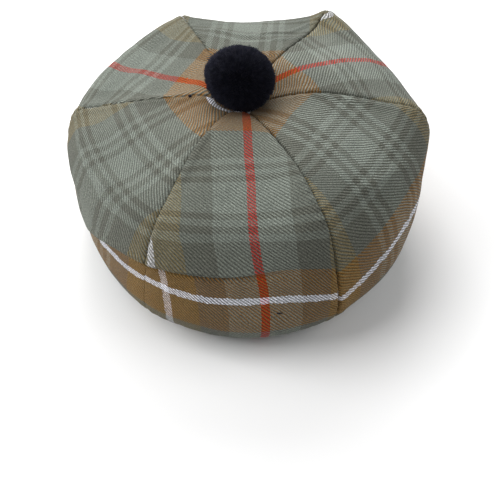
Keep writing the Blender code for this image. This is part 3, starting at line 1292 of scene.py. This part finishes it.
    def _weave(
        self, cut: Cut, across: np.ndarray, along: np.ndarray, place: np.ndarray
    ) -> tuple[np.ndarray, np.ndarray]:
        """Return how far each place lies from the sett's red lines.

        Args:
            cut: the gore.
            across: the columns' shares of the gore's width.
            along: the rows' distances along the cloth.
            place: how far each place lies across from the gore's middle.

        Returns:
            Rows by columns of two distances, across and along: for counting the threads, and for their
            colours, which are stretched a little more at the crown's centre and tucked under its edge.
        """
        marks = [lay.along for lay in cut.lays]
        held = np.clip(along, marks[0], marks[-1])
        lies = np.array([(lay.line, lay.fullness) for lay in cut.lays])
        line, fullness = smooth_curve(marks, lies, held).T
        slips = np.array([lay.slip for lay in cut.lays])
        belly = Level.BELLY.value
        under = smooth_step(belly, Level.BAND.value, along)
        fullness = fullness * (1 + (self.gathered_fullness - 1) * under)
        woven = np.where(along < belly, along, belly + (along - belly) * self.underside_shrink)
        from_red = (place - line[:, None]) * fullness[:, None] + cut.centre.value
        maps = []
        for start, cloth in ((Level.CROWN.value, along), (marks[0], woven)):
            rows = smooth_curve(marks, slips, np.maximum(held, start))
            slip = smooth_curve(SLIP_SHARES, rows.T, across).T
            maps.append(np.stack([from_red, cloth[:, None] - slip - RED_WEFT_AT], axis=-1))
        below, _, hidden = self._sags(cut, place, along)
        maps[1][..., 1] -= hidden * plateau(self.tucked_rows, below)
        return maps[0], maps[1]


class Ripple(NamedTuple):
    """A wave round the band: how often it comes, its height in millimetres and where it starts."""

    count: int
    lift: float
    phase: float


@dataclass
class HeadBand:
    """The black band: an oval ring that stands on its rim and slants inwards above it."""

    finish: BandCotton
    segments: int = 176
    thickness: float = 2.2
    upright: float = 6.0
    edge_radius: float = 0.25
    row_height: float = 2.2
    ripples: tuple[Ripple, ...] = (Ripple(5, 0.35, 1.0), Ripple(11, 0.25, 0.0))

    def build(self) -> list[bpy.types.Object]:
        """Build the band over its solid.

        Returns:
            Its one piece.
        """
        turns = np.linspace(0.0, 2 * math.pi, self.segments + 1)
        profile = self._profile()
        reach = np.hypot(*np.diff(profile, axis=0).T)
        up = np.concatenate([[0.0], np.cumsum(reach)])
        inset, height = profile[:, 0][:, None], profile[:, 1][:, None]
        wave = sum(ripple.lift * np.sin(ripple.count * turns + ripple.phase) for ripple in self.ripples)
        lean = (height / BAND_HEIGHT) * wave[None, :]
        half_width = BAND_RIM[0] - inset + lean
        half_length = BAND_RIM[1] - inset * (BAND_RIM[1] - BAND_TOP[1]) / (BAND_RIM[0] - BAND_TOP[0]) + lean
        points = np.stack([
            BAND_CENTRE[0] + half_width * np.cos(turns)[None, :],
            BAND_CENTRE[1] + half_length * np.sin(turns)[None, :],
            np.broadcast_to(height, half_width.shape),
        ], axis=-1)
        girth = math.pi * (BAND_RIM[0] + BAND_RIM[1])
        cloth = np.stack(np.broadcast_arrays(turns[None, :] / (2 * math.pi) * girth, up[:, None]), axis=-1)
        piece = sheet_piece("head_band", points, {self.finish.cloth_map: cloth})
        weld(piece)
        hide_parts("headband")
        return [finish_piece(piece, self.finish.material())]

    def _profile(self) -> np.ndarray:
        """Return the band's profile.

        Returns:
            The closed profile as inset from the rim and height, in millimetres, with its edges cut.
        """
        slant = BAND_RIM[0] - BAND_TOP[0]
        corners = [
            (0.0, 0.0), (0.0, self.upright), (slant, BAND_HEIGHT), (slant + self.thickness, BAND_HEIGHT),
            (self.thickness, self.upright - self.thickness / 2), (self.thickness, 0.0),
        ]
        points = []
        for number, corner in enumerate(corners):
            before, after = corners[number - 1], corners[(number + 1) % len(corners)]
            for other in (before, after):
                away = np.subtract(other, corner)
                points.append(np.add(corner, away * min(self.edge_radius / np.hypot(*away), 0.4)))
        closed = [*points, points[0]]
        filled = [closed[0]]
        for start, end in zip(closed, closed[1:]):
            steps = max(int(np.hypot(*np.subtract(end, start)) / self.row_height), 1)
            filled += [start + (end - start) * step / steps for step in range(1, steps + 1)]
        return np.array(filled)


@dataclass
class Lining:
    """The lining: a loose dome of thin cloth over the band, crumpled along soft folds."""

    finish: LiningSatin
    segments: int = 180
    rings: int = 90
    thickness: float = 0.8
    looseness: float = 3.0             # how far it hangs inside its solid
    folds: int = 6
    fold_depth: float = 2.2
    gathered: Marks = (0.02, 0.2, 0.45, 0.85)        # the folds' reach from the band to the dome's top
    rumple_depth: float = 2.6
    rumple_size: float = 30.0
    crumple_depth: float = 0.7
    crumple_size: float = 13.0
    middle_height: float = 45.0        # the height that its folds are drawn towards
    crease_ends: Marks = (-0.3, 0.4, 0.6, 1.3)       # how a crease comes and goes, as shares of its length
    crease_slope: float = 6.0          # how much wider it is on its gentle side

    # half width, half length and height of the dome at even steps from the band to its top
    dome: tuple[tuple[float, float, float], ...] = (
        (61, 71, 28.8), (72, 80, 38), (80, 85, 54), (76, 79, 72), (58, 60, 86), (30, 31, 92), (0.0, 0.0, 90),
    )
    creases: tuple[Crease, ...] = (
        Crease((58, 19), (0, 17), 5.0, 1.8),
        Crease((6, 40), (-10, -10), 5.0, 1.6),
        Crease((-32, -60), (-6, -2), 7.0, 1.6),
        Crease((-6, -2), (8, -42), 5.0, 1.8),
        Crease((8, -38), (-6, -66), 6.0, 1.8),
        Crease((-44, 34), (-8, 10), 3.0, 2.6),
        Crease((44, -34), (16, 0), 3.0, 2.6),
    )

    def build(self) -> list[bpy.types.Object]:
        """Build the lining over its solid.

        Returns:
            Its one piece.
        """
        turns = np.linspace(0.0, 2 * math.pi, self.segments + 1)
        share = np.linspace(0.0, 1.0, self.rings)
        rings = smooth_curve(np.linspace(0.0, 1.0, len(self.dome)), np.array(self.dome), share)
        width, length, height = (rings[:, axis][:, None] for axis in range(3))
        points = np.stack(np.broadcast_arrays(
            BAND_CENTRE[0] + width * np.cos(turns)[None, :],
            BAND_CENTRE[1] + length * np.sin(turns)[None, :],
            height,
        ), axis=-1)
        gathered = plateau(self.gathered, share)[:, None]
        fold = self.fold_depth * (1 + np.cos(self.folds * turns))[None, :] * gathered
        crumple = self.rumple_depth * wander(points, self.rumple_size, seed=8)
        crumple += self.crumple_depth * wander(points, self.crumple_size, seed=9)
        loose = smooth_step(0.0, 0.12, share)[:, None]
        inwards = (fold + (crumple + self.looseness + self._creases(points)) * loose)[..., None]
        middle = np.array([*BAND_CENTRE, self.middle_height])
        away = points - middle
        away /= np.linalg.norm(away, axis=-1)[..., None]
        points = points - away * inwards
        points[:, -1] = points[:, 0]
        piece = sheet_piece("lining_cloth", points, {})
        weld(piece)
        wall = piece.modifiers.new("wall", "SOLIDIFY")
        wall.thickness = self.thickness * MM
        wall.offset = -1.0
        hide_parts("lining")
        return [finish_piece(piece, self.finish.material())]

    def _creases(self, points: np.ndarray) -> np.ndarray:
        """Return how far the named creases stand down into the hat.

        Args:
            points: places on the dome, in millimetres.

        Returns:
            The creases' depth at each place: each is steep on one side and gentle on the other.
        """
        depth = np.zeros(points.shape[:-1])
        for crease in self.creases:
            share, aside = line_shares(points[..., 0], points[..., 1], crease.start, crease.end)
            steep = hump(np.minimum(aside, 0.0), 0.0, crease.width)
            gentle = np.exp(-np.maximum(aside, 0.0) / (self.crease_slope * crease.width))
            depth += crease.lift * plateau(self.crease_ends, share) * steep * gentle
        return depth


class Knot(NamedTuple):
    """A small knot of black thread: its middle and its half sizes, in millimetres."""

    place: tuple[float, float, float]
    size: tuple[float, float, float]


@dataclass
class Pompom:
    """The pompom: cut yarn ends that stand out of a round core, and the small knots of its thread."""

    finish: PompomWool
    radius: float = 27.4
    half_height: float = 23.2
    height: float = 125.6
    pressed_side: tuple[float, float, float] = (-0.76, -0.46, -0.46)
    pressed: float = 0.15              # how much nearer it ends on the side where it is pressed flat
    pressed_from: float = 0.45         # how closely a place faces that side where that starts
    core: float = 0.86                 # the core's size as a share of the pompom's
    core_lumps: float = 0.02           # their height as a share of its size
    lump_span: float = 27.0            # the radius at which they are measured, and their width there
    lump_size: float = 4.0
    yarn_ends: int = 1750
    lowest_end: float = -0.80          # none grow where the pompom is sewn on
    end_root: float = 0.80             # where they start and how long they are, as shares of its radius
    end_length: float = 0.20
    trimmed: tuple[float, float] = (0.84, 1.06)
    stray_length: float = 0.18
    strays: float = 0.12               # the share of ends that stand out further
    lean: float = 0.02
    brushes: int = 5
    fibres: int = 7
    fibre_radius: float = 0.26
    splay: float = 1.5
    seed: int = 11
    knots: tuple[Knot, ...] = (
        Knot((-41.4, 10.4, 111.0), (1.4, 1.2, 1.0)),
        Knot((22.9, -133.8, 45.2), (2.1, 0.5, 0.45)),
    )

    def build(self) -> list[bpy.types.Object]:
        """Build the core over its solid, the yarn ends round it and the knots, and return them."""
        material = self.finish.material()
        return [self._core(material), self._yarn(material), self._knots(material)]

    @property
    def _middle(self) -> Vector:
        """Return the pompom's middle, in metres."""
        return Vector((*CROWN_AXIS, self.height)) * MM

    @property
    def _half_sizes(self) -> Vector:
        """Return half of the pompom's sizes, in metres."""
        return Vector((self.radius, self.radius, self.half_height)) * MM

    def _fullness(self, way: Vector) -> float:
        """Return the pompom's reach in a direction, as a share of its full size."""
        facing = max(way.dot(Vector(self.pressed_side)) - self.pressed_from, 0.0) / (1 - self.pressed_from)
        return 1 - self.pressed * facing

    def _core(self, material: bpy.types.Material) -> bpy.types.Object:
        """Build the dense core over the pompom's solid.

        Args:
            material: what it is dressed in.

        Returns:
            Its object.
        """
        bm = bmesh.new()
        bmesh.ops.create_icosphere(bm, subdivisions=5, radius=self.core)
        for vert in bm.verts:
            lump = float(wander(np.array(vert.co) * self.lump_span, self.lump_size, seed=5, waves=12))
            vert.co *= (1 + self.core_lumps * lump) * self._fullness(vert.co.normalized())
        size = Matrix.Diagonal((*self._half_sizes, 1.0))
        bmesh.ops.transform(bm, matrix=Matrix.Translation(self._middle) @ size, verts=bm.verts)
        piece = new_piece("pompom_core", bm)
        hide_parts("pompom")
        return finish_piece(piece, material)

    def _knots(self, material: bpy.types.Material) -> bpy.types.Object:
        """Build the small black knots that show on the cloth.

        Args:
            material: what they are dressed in.

        Returns:
            Their object.
        """
        bm = bmesh.new()
        for knot in self.knots:
            verts = bmesh.ops.create_icosphere(bm, subdivisions=2, radius=1.0)["verts"]
            size = Matrix.Diagonal((*(Vector(knot.size) * MM), 1.0))
            place = Matrix.Translation(Vector(knot.place) * MM)
            bmesh.ops.transform(bm, matrix=place @ size, verts=verts)
        return finish_piece(new_piece("thread_knots", bm), material)

    def _yarn(self, material: bpy.types.Material) -> bpy.types.Object:
        """Build the yarn ends, from a few small brushes of fibres that are copied all round.

        Args:
            material: what they are dressed in.

        Returns:
            Their object.
        """
        random = np.random.default_rng(self.seed)
        brushes = [self._brush(random) for _ in range(self.brushes)]
        bm = bmesh.new()
        golden = math.pi * (3 - math.sqrt(5))
        for number in range(self.yarn_ends):
            level = 1 - 2 * (number + 0.5) / self.yarn_ends
            ring = math.sqrt(1 - level * level)
            way = Vector((ring * math.cos(golden * number), ring * math.sin(golden * number), level))
            jitter = Vector(random.normal(0, self.lean, 3))
            long = random.uniform(*self.trimmed)
            long += self.stray_length if random.uniform() < self.strays else 0.0
            if level < self.lowest_end:
                continue
            out = (way + jitter).normalized()
            full = Vector(size * share for size, share in zip(self._half_sizes, way))
            root = self._middle + full * (self.end_root * self._fullness(way))
            turn = out.to_track_quat("Z", "Y").to_matrix().to_4x4()
            spin = Matrix.Rotation(random.uniform(0, 2 * math.pi), 4, "Z")
            reach = self.end_length * self.radius * MM * long
            copy = brushes[number % len(brushes)].copy()
            copy.transform(Matrix.Translation(root) @ turn @ spin @ Matrix.Diagonal((MM, MM, reach, 1.0)))
            bm.from_mesh(copy)
            bpy.data.meshes.remove(copy)
        for brush in brushes:
            bpy.data.meshes.remove(brush)
        return finish_piece(new_piece("pompom_yarn", bm), material)

    def _brush(self, random: np.random.Generator) -> bpy.types.Mesh:
        """Return a yarn end one unit long: fibres that stand close and splay towards their tips.

        Args:
            random: where its unevenness is drawn from.

        Returns:
            Its mesh.
        """
        bm = bmesh.new()
        for number in range(self.fibres):
            turn = 2 * math.pi * number / max(self.fibres - 1, 1) + random.uniform(-0.3, 0.3)
            spread = 0.0 if number == 0 else random.uniform(0.55, 1.0)
            aside = Vector((math.cos(turn), math.sin(turn), 0.0)) * spread * self.splay
            ring = bmesh.ops.create_circle(bm, segments=3, radius=self.fibre_radius)["verts"]
            bmesh.ops.translate(bm, verts=ring, vec=aside * 0.45)
            edges = [edge for edge in bm.edges if edge.verts[0] in ring and edge.verts[1] in ring]
            tip = 0.45 * random.uniform(0.8, 1.0)
            for up, out, width in ((0.55, 0.25, 0.95), (tip, 0.35, 0.45)):
                grown = bmesh.ops.extrude_edge_only(bm, edges=edges)["geom"]
                ring = [item for item in grown if isinstance(item, bmesh.types.BMVert)]
                edges = [item for item in grown if isinstance(item, bmesh.types.BMEdge)]
                bmesh.ops.translate(bm, verts=ring, vec=aside * out + Vector((0.0, 0.0, up)))
                middle = sum((vert.co for vert in ring), Vector()) / len(ring)
                bmesh.ops.scale(bm, verts=ring, vec=(width, width, 1.0), space=Matrix.Translation(-middle))
            bmesh.ops.contextual_create(bm, geom=ring)
        bmesh.ops.recalc_face_normals(bm, faces=bm.faces)
        mesh = bpy.data.meshes.new("brush")
        bm.to_mesh(mesh)
        bm.free()
        return mesh


@dataclass(frozen=True)
class SoftBox:
    """A square soft box, with its direction from the hat in degrees and its distance and size in metres."""

    name: str
    azimuth: float
    elevation: float
    watts: float
    distance: float = 1.4
    size: float = 0.9


@dataclass
class Studio:
    """The pale floor, soft lights and camera. The target and distance are in millimetres."""

    finish: PaleFloor
    floor_reach: float = 2.5           # half of the floor's side, in metres
    ambient: float = 0.20
    boxes: tuple[SoftBox, ...] = (
        SoftBox("key", 180, 35, 16.4),
        SoftBox("high", 135, 62, 7.6),
        SoftBox("back", 90, 35, 18.5),
        SoftBox("fill", 0, 35, 6.6),
    )
    target: tuple[float, float, float] = (1.5, 0.6, 68.0)
    distance: float = 500.0
    elevation: float = 45.0
    focal_pixels: float = 635.0
    picture: int = 502
    target_pixel: tuple[float, float] = (247.0, 145.7)
    sensor: float = 36.0

    def build(self) -> None:
        """Lay the floor, hang the lights and stand the camera."""
        self._floor()
        self._lights()
        self._camera()

    def _floor(self) -> None:
        """Lay the floor."""
        bm = bmesh.new()
        bmesh.ops.create_grid(bm, x_segments=8, y_segments=8, size=self.floor_reach)
        floor = new_piece("floor", bm)
        floor.data.materials.append(self.finish.material())

    def _lights(self) -> None:
        """Light the hat from the left and behind, with a weak light on its right."""
        world = bpy.data.worlds.new("studio")
        world.use_nodes = True
        sky = world.node_tree.nodes["Background"].inputs
        sky["Color"].default_value = (1.0, 1.0, 1.0, 1.0)
        sky["Strength"].default_value = self.ambient
        bpy.context.scene.world = world
        for box in self.boxes:
            self._hang(box)

    def _hang(self, box: SoftBox) -> None:
        """Hang a soft box that faces the hat.

        Args:
            box: the soft box.
        """
        light = bpy.data.lights.new(box.name, "AREA")
        light.shape = "SQUARE"
        light.size = box.size
        light.energy = box.watts
        turn, rise = math.radians(box.azimuth), math.radians(box.elevation)
        way = Vector((math.cos(turn) * math.cos(rise), math.sin(turn) * math.cos(rise), math.sin(rise)))
        lamp = bpy.data.objects.new(box.name, light)
        lamp.location = way * box.distance
        aim = Vector(self.target) * MM - lamp.location
        lamp.rotation_euler = aim.to_track_quat("-Z", "Y").to_euler()
        bpy.context.scene.collection.objects.link(lamp)

    def _camera(self) -> None:
        """Stand the camera where the photograph was taken from, with the same framing."""
        lens = bpy.data.cameras.new("camera")
        lens.sensor_width = self.sensor
        lens.lens = self.sensor * self.focal_pixels / self.picture
        lens.shift_x = (self.picture / 2 - self.target_pixel[0]) / self.picture
        lens.shift_y = (self.target_pixel[1] - self.picture / 2) / self.picture
        lens.clip_start = 0.01
        camera = bpy.data.objects.new("camera", lens)
        tilt = math.radians(self.elevation)
        back = Vector((0.0, -math.cos(tilt), math.sin(tilt)))
        camera.location = (Vector(self.target) + back * self.distance) * MM
        camera.rotation_euler = (math.pi / 2 - tilt, 0.0, 0.0)
        bpy.context.scene.collection.objects.link(camera)
        bpy.context.scene.camera = camera


def main() -> None:
    """Set the studio, then dress the hat and report its pieces."""
    logging.basicConfig(level=logging.INFO, format="%(name)s: %(message)s")
    bpy.context.scene.view_settings.view_transform = "Standard"
    Studio(PaleFloor()).build()
    for part in (Gores(TartanWool()), HeadBand(BandCotton()), Lining(LiningSatin()), Pompom(PompomWool())):
        for piece in part.build():
            LOG.info("%s: %d faces", piece.name, len(piece.data.polygons))


if __name__ == "__main__":
    main()
